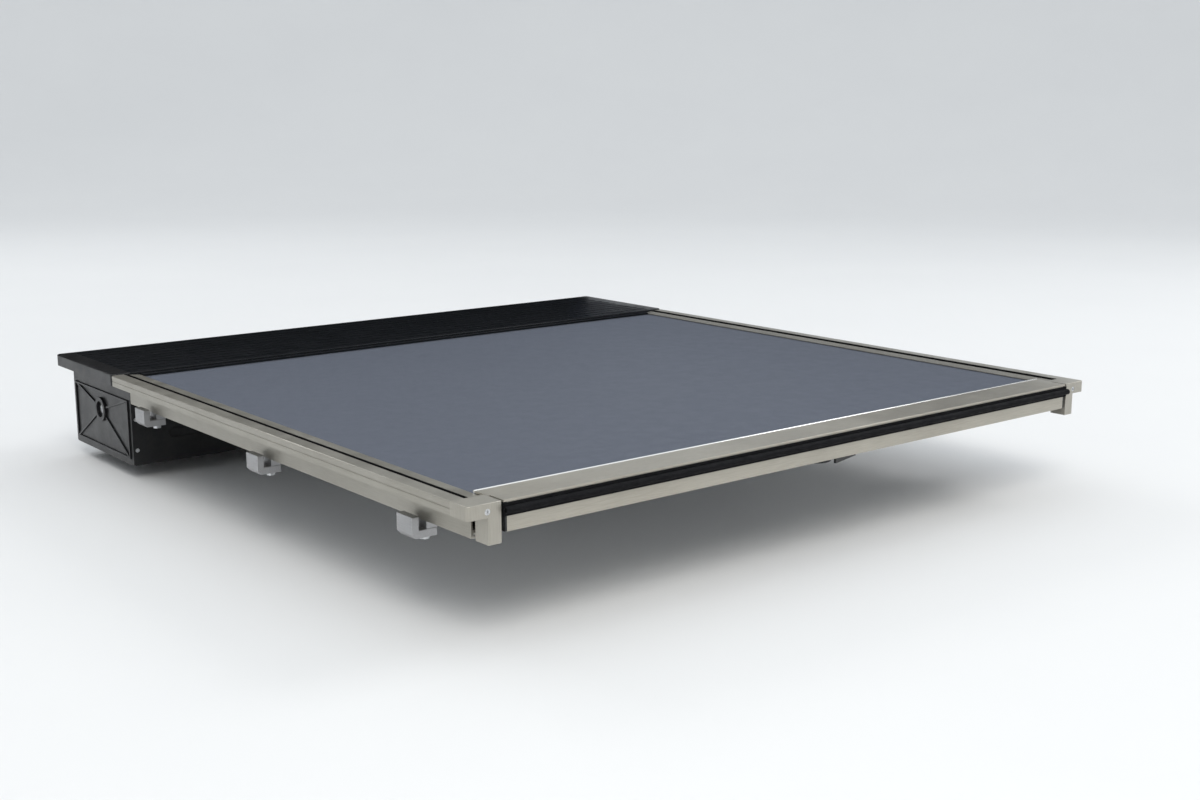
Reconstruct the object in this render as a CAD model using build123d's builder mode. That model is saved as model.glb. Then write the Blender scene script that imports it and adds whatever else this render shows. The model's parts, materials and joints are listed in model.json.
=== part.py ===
from build123d import *
import os
from math import asin, atan2, cos, degrees, hypot, pi, radians, sin

# Roll-up cover for a short pickup bed: a slatted curtain runs in two side rails
# and winds onto a drum in a canister behind the cab.
# Frame: X to the right seen from behind, Y forward to the cab, Z up.
# Origin: centre of the plane on which the rails rest on the bed sides.

os.makedirs("parts", exist_ok=True)

# ---- driving dimensions, mm ----
cover_width = 1370.0
cover_length = 1465.0
lid_length = 290.0
bar_depth = 66.0
rail_top = 20.0  # height of the rail, bar and corner tops above the seat plane
lip_x = 631.0  # inner edge of the rail's top lip
leg_in_x = 630.0
leg_out_x = 652.0
leg_bottom = -38.0
slot_floor = 2.5
slot_roof = 15.0
slot_back_x = 649.0
curtain_bottom = 4.0
slat_height = 8.4
skin_thickness = 1.6
slat_half_length = 647.0
slat_count = 39
mouth_y = 428.0  # where the curtain passes under the wiper
canister_depth = 160.0
wall = 2.0
drum_radius = 32.0
drum_z = -72.0
roller_radius = 12.5
stroke_angle = 30.0  # swing of the release lever
pin_circle = 20.0  # radius of the lever's two drive pins

# ---- places that follow from them ----
half_width = cover_width / 2
rear_y = -cover_length / 2
front_y = cover_length / 2
canister_y = front_y - lid_length
lip_y = rear_y + bar_depth
slat_top = curtain_bottom + slat_height
skin_top = slat_top + skin_thickness
drum_y = (canister_y + front_y) / 2 + 2.0
roller_y = canister_y + 27.5
roller_z = curtain_bottom - 0.3 - roller_radius
clamp_places = (-560.0, -100.0, 350.0)


def across(y):
    """Plane for a profile drawn in X and Z, at this Y. It extrudes towards -Y."""
    return Plane.XZ.offset(-y)


def along(x):
    """Plane for a profile drawn in Y and Z, at this X. It extrudes towards +X."""
    return Plane.YZ.offset(x)


def block(x_span, y_span, z_span, mode=Mode.ADD):
    """A box given by its two limits on each axis."""
    spans = (x_span, y_span, z_span)
    centre = tuple((low + high) / 2 for low, high in spans)
    with Locations(centre):
        Box(*[high - low for low, high in spans], mode=mode)


def post(place, radius, length, axis="Z", mode=Mode.ADD, sides=0):
    """A round or polygonal bar that starts at place and runs along +axis."""
    planes = {"X": Plane.YZ, "Y": Plane.ZX, "Z": Plane.XY}
    where = Plane(place, x_dir=planes[axis].x_dir, z_dir=planes[axis].z_dir)
    with BuildSketch(where) as section:
        if sides:
            RegularPolygon(radius, sides)
        else:
            Circle(radius)
    extrude(section.sketch, amount=length, mode=mode)


def save(part, name):
    """Label a finished sub-part and write it as one file."""
    part.label = name
    export_step(part, f"parts/{name}.step")


def save_pair(part, name):
    """Write the right-hand sub-part and its mirror image."""
    save(part, name + "_right")
    save(mirror(part, about=Plane.YZ), name + "_left")


# ======================= side rails =======================

rail_start = rear_y + 40.0
rail_length = canister_y - rail_start
rail_wall = 2.5
lip_edge_z = 16.4  # the lip rises outwards from here to the groove
lip_ridge_z = 18.3
groove_in_x = 651.5
groove_out_x = 662.5
groove_floor = 12.0
liner_wall = 1.2  # rubber channel in the groove
liner_floor = 1.5
liner_in_z = lip_ridge_z - 0.3
liner_out_z = rail_top - 0.4
side_line_z = (9.0, 11.0)  # fine line along the rail's outer side
leg_chamber_z = (-26.0, -0.5)
channel_z = (-18.0, -8.0)  # the leg's inner slot, in which the latch bolts travel
clamp_slot_x = (634.0, 648.0)  # T-slot along the leg's foot, for the clamps
clamp_slot_z = (-35.0, -29.0)
clamp_mouth_x = (637.0, 645.0)
corner_screw_x = 652.8
corner_screw_z = 8.0
corner_screw_r = 2.4
corner_screw_length = 50.0
corner_bore_depth = 4.0
screw_head_r = 4.6

with BuildPart() as rail:
    with BuildSketch(across(canister_y)):
        Polygon(
            (lip_x, lip_edge_z),
            (groove_in_x, lip_ridge_z),
            (groove_in_x, groove_floor),
            (groove_out_x, groove_floor),
            (groove_out_x, rail_top),
            (half_width, rail_top),
            (half_width, 0),
            (leg_out_x, 0),
            (leg_out_x, leg_bottom),
            (leg_in_x, leg_bottom),
            (leg_in_x, slot_floor),
            (slot_back_x, slot_floor),
            (slot_back_x, slot_roof),
            (lip_x, slot_roof),
        )
    extrude(amount=rail_length)
    whole = (rail_start, canister_y)
    flange_chamber_x = (groove_out_x + rail_wall, half_width - rail_wall)
    under_groove_x = (corner_screw_x + corner_screw_r + rail_wall, groove_out_x)
    leg_chamber_x = (leg_in_x + rail_wall, leg_out_x - rail_wall)
    block(flange_chamber_x, whole, (rail_wall, rail_top - rail_wall), Mode.SUBTRACT)
    block(under_groove_x, whole, (rail_wall, groove_floor - rail_wall), Mode.SUBTRACT)
    block(leg_chamber_x, whole, leg_chamber_z, Mode.SUBTRACT)
    block((leg_in_x, leg_in_x + rail_wall), whole, channel_z, Mode.SUBTRACT)
    block(clamp_slot_x, whole, clamp_slot_z, Mode.SUBTRACT)
    block(clamp_mouth_x, whole, (leg_bottom, clamp_slot_z[0]), Mode.SUBTRACT)
    block((half_width - 0.8, half_width), whole, side_line_z, Mode.SUBTRACT)
    screw_depth = corner_screw_length + corner_bore_depth - (rail_start - rear_y) + 1.0
    post((corner_screw_x, rail_start, corner_screw_z), corner_screw_r, screw_depth, "Y", Mode.SUBTRACT)
    outer_top = rail.edges().filter_by(Axis.Y).sort_by(Axis.X)[-4:].sort_by(Axis.Z)[-1]
    fillet(outer_top, 1.5)
save_pair(rail.part, "rail")

with BuildPart() as glide:
    block((leg_in_x + 0.5, slot_back_x - 0.5), whole, (slot_floor, slot_floor + 1.2))
save_pair(glide.part, "rail_glide")

with BuildPart() as rail_seal:
    with BuildSketch(across(canister_y)):
        Polygon(
            (groove_in_x, groove_floor),
            (groove_out_x, groove_floor),
            (groove_out_x, liner_out_z),
            (groove_out_x - liner_wall, liner_out_z),
            (groove_out_x - liner_wall, groove_floor + liner_floor),
            (groove_in_x + liner_wall, groove_floor + liner_floor),
            (groove_in_x + liner_wall, liner_in_z),
            (groove_in_x, liner_in_z),
        )
    extrude(amount=rail_length)
    fillet(rail_seal.edges().filter_by(Axis.Y).group_by(Axis.Z)[-1], 0.4)
save_pair(rail_seal.part, "rail_seal")

# ======================= rear corner blocks =======================

corner_nose = rear_y + 30.0  # front face of the inner part, the bar's closed stop

with BuildPart() as corner:
    block((lip_x, half_width), (rear_y, rail_start), (0, rail_top))
    block((lip_x, leg_out_x), (rear_y, corner_nose), (leg_bottom, rail_top))
    fillet(corner.edges().filter_by(Axis.Z).sort_by(Axis.X)[-2:].sort_by(Axis.Y)[0], 7.0)
    screw_place = (corner_screw_x, rear_y, corner_screw_z)
    post(screw_place, corner_screw_r, rail_start - rear_y, "Y", Mode.SUBTRACT)
    post(screw_place, screw_head_r, corner_bore_depth, "Y", Mode.SUBTRACT)
    fillet(corner.edges().group_by(Axis.Z)[-1].filter_by(Axis.Y).sort_by(Axis.X)[-1], 1.5)
save_pair(corner.part, "rail_corner")

with BuildPart() as corner_screw:
    head = (corner_screw_x, rear_y + 0.4, corner_screw_z)
    shank = (corner_screw_x, rear_y + corner_bore_depth, corner_screw_z)
    post(head, screw_head_r, corner_bore_depth - 0.4, "Y")
    post(shank, corner_screw_r, corner_screw_length, "Y")
    post(head, 2.0, 2.0, "Y", Mode.SUBTRACT, 6)
    mirror(about=Plane.YZ)
save(corner_screw.part, "corner_screws")

# ======================= striker plates =======================

bolt_y = rear_y + 51.5
bolt_z = -13.0
striker_x = (leg_in_x - 2.0, leg_in_x)
striker_y = (bolt_y - 10.0, bolt_y + 22.0)
striker_hole_y = (bolt_y - 6.2, bolt_y + 6.2)
striker_hole_z = (bolt_z - 4.8, bolt_z + 4.8)
striker_screws = ((bolt_y + 15.0, bolt_z + 8.5), (bolt_y + 15.0, bolt_z - 8.5))
striker_screw_r = 2.0

with BuildPart() as striker:
    block(striker_x, striker_y, (bolt_z - 12.0, bolt_z + 12.0))
    block(striker_x, striker_hole_y, striker_hole_z, Mode.SUBTRACT)
    for y, z in striker_screws:
        post((striker_x[0], y, z), striker_screw_r, striker_x[1] - striker_x[0], "X", Mode.SUBTRACT)
save_pair(striker.part, "striker_plate")

with BuildPart() as striker_screw:
    for y, z in striker_screws:
        post((striker_x[0] - 1.4, y, z), 3.2, 1.4, "X")
        post((striker_x[0], y, z), striker_screw_r, striker_x[1] - striker_x[0], "X")
    mirror(about=Plane.YZ)
save(striker_screw.part, "striker_screws")

# ======================= bed clamps =======================

clamp_half = 20.0
clamp_bolt_x = 641.0
clamp_bolt_r = 4.0
clamp_foot_x = (632.0, 650.0)
clamp_foot_z = (-50.0, leg_bottom - 0.5)
jaw_bottom = -62.0
jaw_tip_x = (662.0, 674.0)
bed_flange_depth = 30.0  # height of the bed side's turned-down edge that a clamp grips
washer = 2.0

with BuildPart() as clamp_body:
    for y in clamp_places:
        span = (y - clamp_half, y + clamp_half)
        head_x = (clamp_slot_x[0] + 0.4, clamp_slot_x[1] - 0.4)
        neck_x = (clamp_mouth_x[0] + 0.3, clamp_mouth_x[1] - 0.3)
        head_z = (clamp_slot_z[0] + 0.3, clamp_slot_z[1] - 0.4)
        block(head_x, span, head_z)
        block(neck_x, span, (clamp_foot_z[1], head_z[0]))
        block(clamp_foot_x, span, clamp_foot_z)
        post((clamp_bolt_x, y, clamp_foot_z[0]), clamp_bolt_r, 9.0, "Z", Mode.SUBTRACT)
    mirror(about=Plane.YZ)
save(clamp_body.part, "clamp_bodies")

with BuildPart() as clamp_jaw:
    for y in clamp_places:
        with BuildSketch(across(y + clamp_half)):
            Polygon(
                (clamp_foot_x[0], clamp_foot_z[0]),
                (jaw_tip_x[0], clamp_foot_z[0]),
                (jaw_tip_x[0], -bed_flange_depth),
                (jaw_tip_x[1], -bed_flange_depth),
                (jaw_tip_x[1], jaw_bottom + 6.0),
                (jaw_tip_x[1] - 6.0, jaw_bottom),
                (clamp_foot_x[0], jaw_bottom),
            )
        extrude(amount=2 * clamp_half)
        bore = clamp_foot_z[0] - jaw_bottom
        post((clamp_bolt_x, y, jaw_bottom), clamp_bolt_r, bore, "Z", Mode.SUBTRACT)
    mirror(about=Plane.YZ)
save(clamp_jaw.part, "clamp_jaws")

with BuildPart() as clamp_bolt:
    for y in clamp_places:
        post((clamp_bolt_x, y, jaw_bottom - washer - 5.5), 7.5, 5.5, "Z", Mode.ADD, 6)
        post((clamp_bolt_x, y, jaw_bottom - washer), 9.0, washer, "Z")
        post((clamp_bolt_x, y, jaw_bottom), clamp_bolt_r, bore + 9.0, "Z")
    mirror(about=Plane.YZ)
save(clamp_bolt.part, "clamp_bolts")

# ======================= canister =======================

tray_half = 648.5
tray_rear = canister_y + 1.5
tray_front = front_y - 1.5
floor_z = -canister_depth
lid_bottom = 16.0
plate_out_x = 652.0
tray_flange = 18.0
panel_top = 1.0
screw_r = 2.0
drain_x = 600.0
drain_y = front_y - 30.0
drain_bore = 6.5
lid_screw_y = tray_front - 9.0
lid_screw_x = (-520.0, -260.0, 0.0, 260.0, 520.0)
rim = 6.0
rim_in_x = 640.0
tray_screw_y = (tray_rear + 60.0, tray_front - 60.0)
tray_screw_x = 644.0
panel_screw_z = (-70.0, -130.0)
screw_head = 1.4
cap_top_z = 22.0
shaft_r = 8.0
axle_r = 5.0

with BuildPart() as canister_floor:
    block((-tray_half, tray_half), (tray_rear, tray_front), (floor_z, floor_z + wall))
    fillet(canister_floor.edges().filter_by(Axis.X).group_by(Axis.Z)[0], 1.2)
    for side in (-1, 1):
        post((side * drain_x, drain_y, floor_z), drain_bore, wall, "Z", Mode.SUBTRACT)
        for y in tray_screw_y:
            post((side * tray_screw_x, y, floor_z), screw_r, wall, "Z", Mode.SUBTRACT)
save(canister_floor.part, "canister_floor")

with BuildPart() as rear_panel:
    block((-tray_half, tray_half), (tray_rear, tray_rear + wall), (floor_z + wall, panel_top))
    for side in (-1, 1):
        for z in panel_screw_z:
            post((side * tray_screw_x, tray_rear, z), screw_r, wall, "Y", Mode.SUBTRACT)
save(rear_panel.part, "canister_rear_panel")

with BuildPart() as front_panel:
    block((-tray_half, tray_half), (tray_front - wall, tray_front), (floor_z + wall, lid_bottom))
    flange_y = (tray_front - tray_flange, tray_front - wall)
    block((-tray_half, tray_half), flange_y, (lid_bottom - wall, lid_bottom))
    for side in (-1, 1):
        for z in panel_screw_z:
            place = (side * tray_screw_x, tray_front - wall, z)
            post(place, screw_r, wall, "Y", Mode.SUBTRACT)
    for x in lid_screw_x:
        post((x, lid_screw_y, lid_bottom - wall), screw_r, wall, "Z", Mode.SUBTRACT)
save(front_panel.part, "canister_front_panel")

with BuildPart() as canister_end:
    block((tray_half, plate_out_x), (tray_rear, tray_front), (floor_z, lid_bottom))
    block((tray_half + 2.0, half_width), (canister_y + 0.3, front_y), (0, cap_top_z))
    rear_rim = (tray_rear + wall, tray_rear + wall + rim)
    front_rim = (tray_front - wall - rim, tray_front - wall)
    floor_rim = (floor_z + wall, floor_z + wall + rim)
    block((rim_in_x, tray_half), rear_rim, (floor_rim[0], -10.0))
    block((rim_in_x, tray_half), (rear_rim[0], front_rim[1]), floor_rim)
    block((rim_in_x, tray_half), front_rim, (floor_rim[0], 8.0))
    for y, z, radius in ((drum_y, drum_z, shaft_r), (roller_y, roller_z, axle_r)):
        post((tray_half, y, z), radius, plate_out_x - tray_half, "X", Mode.SUBTRACT)
    for y in tray_screw_y:
        post((tray_screw_x, y, floor_rim[0]), screw_r, 5.0, "Z", Mode.SUBTRACT)
    for z in panel_screw_z:
        post((tray_screw_x, rear_rim[0], z), screw_r, 5.0, "Y", Mode.SUBTRACT)
        post((tray_screw_x, front_rim[1] - 5.0, z), screw_r, 5.0, "Y", Mode.SUBTRACT)
    foot = canister_end.edges().filter_by(Axis.X).group_by(Axis.Z)[0]
    fillet(foot, 4.0)
    cap_corners = canister_end.edges().filter_by(Axis.Z).sort_by(Axis.X)[-2:]
    fillet(cap_corners, 10.0)
    cap_top = canister_end.faces().sort_by(Axis.Z)[-1]
    fillet(cap_top.edges().sort_by(Axis.X)[1:], 2.0)
save_pair(canister_end.part, "canister_end")

rib_pitch = 27.0
rib_count = 10
rib_gap = 4.0
rib_depth = 1.2
lid_half = tray_half + 1.8
lid_top = cap_top_z
lid_rim = 6.0
lid_hollow = 1.4  # depth of the lid's hollow underside

with BuildPart() as lid:
    block((-lid_half, lid_half), (canister_y, front_y), (lid_bottom, lid_top))
    fillet(lid.edges().filter_by(Axis.X).group_by(Axis.Z)[-1], 2.5)
    for i in range(rib_count):
        y = canister_y + 24.0 + i * rib_pitch
        gap = (y - rib_gap / 2, y + rib_gap / 2)
        block((-lid_half, lid_half), gap, (lid_top - rib_depth, lid_top), Mode.SUBTRACT)
    hollow_half = lid_half - lid_rim
    hollow_y = (canister_y + 2 * lid_rim, tray_front - tray_flange - lid_rim)
    block((-hollow_half, hollow_half), hollow_y, (lid_bottom, lid_bottom + lid_hollow), Mode.SUBTRACT)
    for x in lid_screw_x:
        post((x, lid_screw_y, lid_bottom), screw_r, 3.0, "Z", Mode.SUBTRACT)
save(lid.part, "canister_lid")

with BuildPart() as lid_screw:
    for x in lid_screw_x:
        post((x, lid_screw_y, lid_bottom - wall - 2.2), 3.8, 2.2, "Z")
        post((x, lid_screw_y, lid_bottom - wall), screw_r, wall + 3.0, "Z")
save(lid_screw.part, "lid_screws")

with BuildPart() as tray_screw:
    for y in tray_screw_y:
        post((tray_screw_x, y, floor_z - screw_head), 3.8, screw_head, "Z")
        post((tray_screw_x, y, floor_z), screw_r, wall + 5.0, "Z")
    for z in panel_screw_z:
        post((tray_screw_x, tray_rear - screw_head, z), 3.8, screw_head, "Y")
        post((tray_screw_x, tray_rear, z), screw_r, wall + 5.0, "Y")
        post((tray_screw_x, tray_front, z), 3.8, screw_head, "Y")
        post((tray_screw_x, tray_front - wall - 5.0, z), screw_r, wall + 5.0, "Y")
    mirror(about=Plane.YZ)
save(tray_screw.part, "tray_screws")

strip_half = lip_x - 1.0
with BuildPart() as edge_strip:
    with BuildSketch(along(-strip_half)):
        Polygon(
            (mouth_y + 1.0, 15.0),
            (canister_y + 10.0, 15.0),
            (canister_y + 10.0, lid_bottom),
            (canister_y - 1.5, lid_bottom),
            (canister_y - 1.5, 18.5),
            (mouth_y + 1.0, 18.5),
        )
    extrude(amount=2 * strip_half)
    fillet(edge_strip.edges().filter_by(Axis.X).group_by(Axis.Z)[-1], 0.8)
save(edge_strip.part, "lid_edge_strip")

with BuildPart() as wiper:
    block((-strip_half, strip_half), (mouth_y + 2.0, mouth_y + 9.0), (skin_top + 0.35, 15.0))
save(wiper.part, "wiper_seal")

spigot_r = 6.35
spigot_length = 22.0
nozzle_stub = 7.5  # threaded length inside the tray
hose_bore = 4.5
collar_r = 12.0
nut_r = 11.0
nut_height = 4.5

with BuildPart() as nozzle:
    collar = 2.5
    nozzle_low = floor_z - collar - spigot_length
    post((drain_x, drain_y, nozzle_low), spigot_r, spigot_length, "Z")
    post((drain_x, drain_y, floor_z - collar), collar_r, collar, "Z")
    post((drain_x, drain_y, floor_z), drain_bore, nozzle_stub, "Z")
    post((drain_x, drain_y, nozzle_low), hose_bore, floor_z + nozzle_stub - nozzle_low, "Z", Mode.SUBTRACT)
save_pair(nozzle.part, "drain_nozzle")

with BuildPart() as drain_nut:
    post((drain_x, drain_y, floor_z + wall), nut_r, nut_height, "Z", Mode.ADD, 6)
    post((drain_x, drain_y, floor_z + wall), drain_bore, nut_height, "Z", Mode.SUBTRACT)
    mirror(about=Plane.YZ)
save(drain_nut.part, "drain_nuts")

# ======================= drum and its spring =======================

running_gap = 0.05
disc_depth = 8.0
bush_wall = 4.0
bush_flange = 3.0
drum_half = 644.0

with BuildPart() as shaft:
    post((-plate_out_x, drum_y, drum_z), shaft_r, 2 * plate_out_x, "X")
save(shaft.part, "drum_shaft")

with BuildPart() as drum_tube:
    post((-drum_half, drum_y, drum_z), drum_radius, 2 * drum_half, "X")
    post((-drum_half, drum_y, drum_z), drum_radius - wall, 2 * drum_half, "X", Mode.SUBTRACT)
save(drum_tube.part, "drum_tube")

with BuildPart() as disc:
    place = (drum_half - disc_depth, drum_y, drum_z)
    post(place, drum_radius - wall, disc_depth, "X")
    post(place, shaft_r + bush_wall, disc_depth, "X", Mode.SUBTRACT)
save_pair(disc.part, "drum_disc")

with BuildPart() as bush:
    place = (drum_half - disc_depth - bush_flange, drum_y, drum_z)
    post(place, shaft_r + bush_wall, disc_depth + bush_flange, "X")
    post(place, shaft_r + bush_wall + 2.5, bush_flange, "X")
    post(place, shaft_r + running_gap, disc_depth + bush_flange, "X", Mode.SUBTRACT)
save_pair(bush.part, "drum_bush")

coil_strip = 0.9
coil_step = 1.25  # growth of the radius in each half turn
coil_turns = 6
coil_start = shaft_r
coil_x = (560.0, 600.0)

with BuildPart() as coil:
    with BuildSketch(along(coil_x[0])):
        for i in range(2 * coil_turns):
            radius = coil_start + i * coil_step
            centre_y = drum_y if i % 2 == 0 else drum_y + coil_step
            turn = 1 if i % 2 == 0 else -1
            outer = radius + coil_strip
            with BuildLine():
                a = ThreePointArc(
                    (centre_y + outer, drum_z),
                    (centre_y, drum_z + turn * outer),
                    (centre_y - outer, drum_z),
                )
                b = Line(a @ 1, (centre_y - radius, drum_z))
                c = ThreePointArc(
                    b @ 1,
                    (centre_y, drum_z + turn * radius),
                    (centre_y + radius, drum_z),
                )
                Line(c @ 1, a @ 0)
            make_face()
    extrude(amount=coil_x[1] - coil_x[0])
save(coil.part, "power_spring")

# ======================= guide roller =======================

with BuildPart() as roller_axle:
    post((-plate_out_x, roller_y, roller_z), axle_r, 2 * plate_out_x, "X")
save(roller_axle.part, "roller_axle")

roller_half = 646.0
with BuildPart() as roller:
    place = (-roller_half, roller_y, roller_z)
    post(place, roller_radius, 2 * roller_half, "X")
    post(place, axle_r + running_gap, 2 * roller_half, "X", Mode.SUBTRACT)
save(roller.part, "guide_roller")

# ======================= curtain =======================

slat_start = lip_y - 2.7
slat_pitch = (mouth_y - slat_start) / slat_count
slat_gap = 0.8
slat_taper = 2.6  # how much narrower a slat is at its foot, so that the curtain can roll
slat_wall = 1.2


def slat_outline(mode=Mode.ADD, inset=0.0):
    """A slat's section about its own foot centre: a low trapezium."""
    top = slat_pitch / 2 - slat_gap / 2 - inset
    foot = top - slat_taper
    Polygon(
        (-foot, inset),
        (foot, inset),
        (top, slat_height * 0.45),
        (top, slat_height - inset),
        (-top, slat_height - inset),
        (-top, slat_height * 0.45),
        mode=mode,
    )


def slat(foot_y, foot_z, tilt):
    """One hollow slat across the cover. Its foot centre is at (foot_y, foot_z), its top normal at tilt."""
    lean = radians(tilt)
    where = Plane(
        (-slat_half_length, foot_y, foot_z),
        x_dir=(0, cos(lean), sin(lean)),
        z_dir=(1, 0, 0),
    )
    with BuildSketch(where) as section:
        slat_outline()
        slat_outline(Mode.SUBTRACT, slat_wall)
    extrude(section.sketch, amount=2 * slat_half_length)


with BuildPart() as slats:
    for i in range(slat_count):
        slat(slat_start + (i + 0.5) * slat_pitch, curtain_bottom, 0.0)
save(slats.part, "curtain_slats")

skin_half = slat_half_length - 1.0
with BuildPart() as skin:
    block((-skin_half, skin_half), (slat_start, mouth_y), (slat_top, skin_top))
save(skin.part, "curtain_skin")

# The curtain inside the canister: flat to the roller, down the line that is
# tangent to the roller and the drum, then part of a turn on the drum.
roller_r = roller_radius + 0.3
wrap_r = drum_radius + 0.4
span_y = drum_y - roller_y
span_z = drum_z - roller_z
feed_tilt = atan2(span_z, span_y) + asin((wrap_r - roller_r) / hypot(span_y, span_z))
feed_dir = (cos(feed_tilt), sin(feed_tilt))
feed_up = (-sin(feed_tilt), cos(feed_tilt))
feed_start = (roller_y + roller_r * feed_up[0], roller_z + roller_r * feed_up[1])
feed_slats = 3
wound_slats = 6
wound_step = 48.0

with BuildPart() as feed:
    flat_centre = (mouth_y + roller_y) / 2
    slat(flat_centre, curtain_bottom, 0.0)
    for i in range(feed_slats):
        run = (i + 0.75) * slat_pitch
        slat(feed_start[0] + run * feed_dir[0], feed_start[1] + run * feed_dir[1], degrees(feed_tilt))
save(feed.part, "feed_slats")

skin_gap = 0.05
feed_end = (feed_slats + 0.25) * slat_pitch
low = slat_height + skin_gap
high = low + skin_thickness - skin_gap
bend = tuple(
    (roller_y + (roller_r + h) * sin(-feed_tilt / 2), roller_z + (roller_r + h) * cos(feed_tilt / 2))
    for h in (low, high)
)
with BuildPart() as feed_skin:
    with BuildSketch(along(-skin_half)):
        with BuildLine():
            upper = Line((mouth_y, curtain_bottom + high), (roller_y, curtain_bottom + high))
            over = ThreePointArc(
                upper @ 1,
                bend[1],
                (feed_start[0] + high * feed_up[0], feed_start[1] + high * feed_up[1]),
            )
            down = Line(
                over @ 1,
                (
                    feed_start[0] + feed_end * feed_dir[0] + high * feed_up[0],
                    feed_start[1] + feed_end * feed_dir[1] + high * feed_up[1],
                ),
            )
            tip = Line(
                down @ 1,
                (
                    feed_start[0] + feed_end * feed_dir[0] + low * feed_up[0],
                    feed_start[1] + feed_end * feed_dir[1] + low * feed_up[1],
                ),
            )
            back = Line(
                tip @ 1,
                (feed_start[0] + low * feed_up[0], feed_start[1] + low * feed_up[1]),
            )
            under = ThreePointArc(back @ 1, bend[0], (roller_y, curtain_bottom + low))
            home = Line(under @ 1, (mouth_y, curtain_bottom + low))
            Line(home @ 1, upper @ 0)
        make_face()
    extrude(amount=2 * skin_half)
save(feed_skin.part, "feed_skin")

wound_from = degrees(feed_tilt) - 15.0
with BuildPart() as wound:
    for i in range(wound_slats):
        tilt = wound_from - 24.0 - i * wound_step
        lean = radians(tilt)
        slat(drum_y - wrap_r * sin(lean), drum_z + wrap_r * cos(lean), tilt)
save(wound.part, "wound_slats")

wound_in = hypot(slat_pitch / 2 - slat_gap / 2, wrap_r + slat_height) + 0.1
with BuildPart() as wound_skin:
    with BuildSketch(along(-skin_half)):
        with Locations((drum_y, drum_z)):
            Circle(wound_in + skin_thickness)
            Circle(wound_in, mode=Mode.SUBTRACT)
        open_sides = [radians(wound_from + turn) for turn in (90.0, 125.0, 162.0)]
        reach = 2 * wound_in
        with BuildLine():
            Polyline(
                (drum_y, drum_z),
                *[(drum_y + reach * cos(side), drum_z + reach * sin(side)) for side in open_sides],
                close=True,
            )
        make_face(mode=Mode.SUBTRACT)
    extrude(amount=2 * skin_half)
save(wound_skin.part, "wound_skin")

# ======================= end bar =======================

bar_box_half = 622.0
bar_bottom = -24.0
bar_wall = 3.0
bar_box = 63.0
bar_inner_half = lip_x - 4.0
ear_half = lip_x - 0.6
lip_bead_r = 2.0
lip_bead_rise = 0.8  # the polished bead along the bar's front lip stands this much proud
seal_half = leg_in_x - 1.5
hub_y = rear_y + 31.5
window_in = 15.3
window_out = 24.0
pivot_r = 4.0

with BuildPart() as bar:
    box_y = (rear_y, rear_y + bar_box)
    block((-bar_box_half, bar_box_half), box_y, (bar_bottom, rail_top))
    block(
        (-bar_box_half, bar_box_half),
        (box_y[0] + bar_wall, box_y[1] - bar_wall),
        (bar_bottom + bar_wall, rail_top - bar_wall),
        Mode.SUBTRACT,
    )
    block((-bar_inner_half, bar_inner_half), (rear_y, corner_nose + 0.6), (rail_top - bar_wall, rail_top))
    block((-ear_half, ear_half), (corner_nose + 0.6, lip_y), (rail_top - bar_wall, rail_top))
    block((-ear_half, ear_half), (lip_y - lip_bead_r, lip_y), (rail_top - bar_wall, rail_top), Mode.SUBTRACT)
    bead_place = (-ear_half, lip_y - lip_bead_r, rail_top + lip_bead_rise - lip_bead_r)
    post(bead_place, lip_bead_r, 2 * ear_half, "X")
    fillet(bar.edges().filter_by(Axis.X).group_by(Axis.Y)[0].sort_by(Axis.Z)[-1], 1.0)
    for side in (-1, 1):
        window_y = sorted((hub_y + side * window_in, hub_y + side * window_out))
        block((-10.0, 10.0), window_y, (bar_bottom, bar_bottom + bar_wall), Mode.SUBTRACT)
    post((0, hub_y, bar_bottom), pivot_r, bar_wall, "Z", Mode.SUBTRACT)
save(bar.part, "end_bar")

seal_z = 7.0
with BuildPart() as bar_seal:
    with BuildSketch(along(-seal_half)):
        with Locations((rear_y - 5.0, seal_z)):
            Circle(5.0)
        with Locations((rear_y - 1.2, seal_z)):
            Rectangle(2.4, 18.0)
        with Locations((rear_y - 5.4, seal_z)):
            Circle(3.2, mode=Mode.SUBTRACT)
    extrude(amount=2 * seal_half)
save(bar_seal.part, "tailgate_seal")

with BuildPart() as end_cap:
    cap_x = (bar_box_half, bar_box_half + 3.0)
    block(cap_x, box_y, (bar_bottom, rail_top - bar_wall))
    block(cap_x, (bolt_y - 5.8, bolt_y + 5.8), (bolt_z - 4.6, bolt_z + 4.6), Mode.SUBTRACT)
    fillet(end_cap.edges().filter_by(Axis.X).group_by(Axis.Z)[0], 1.0)
save_pair(end_cap.part, "bar_end_cap")

with BuildPart() as shoe:
    shoe_y = (rail_start + 1.0, rear_y + 62.0)
    block((bar_box_half + 3.0, slot_back_x - 1.2), shoe_y, (curtain_bottom, slot_roof - 0.6))
    fillet(shoe.edges().filter_by(Axis.Z), 3.0)
save_pair(shoe.part, "guide_shoe")

# ======================= latches and release lever =======================

bolt_half_y = 5.5
bolt_half_z = 4.2
bolt_tip = 636.5
bolt_back = 590.0
tail_r = 3.0
tail_end = 540.0
housing_x = (560.0, bar_box_half)
housing_y = (bolt_y - 9.0, bolt_y + 8.4)
housing_top = -5.0
guide_in_x = 606.0  # inner end of the block that guides the bolt
inside_floor = bar_bottom + bar_wall
rod_z = (bolt_z - 1.2, bolt_z + 1.2)
pin_r = 3.0
half_swing = radians(stroke_angle / 2)
pin_x = pin_circle * sin(half_swing)
pin_y = pin_circle * cos(half_swing)

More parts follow.
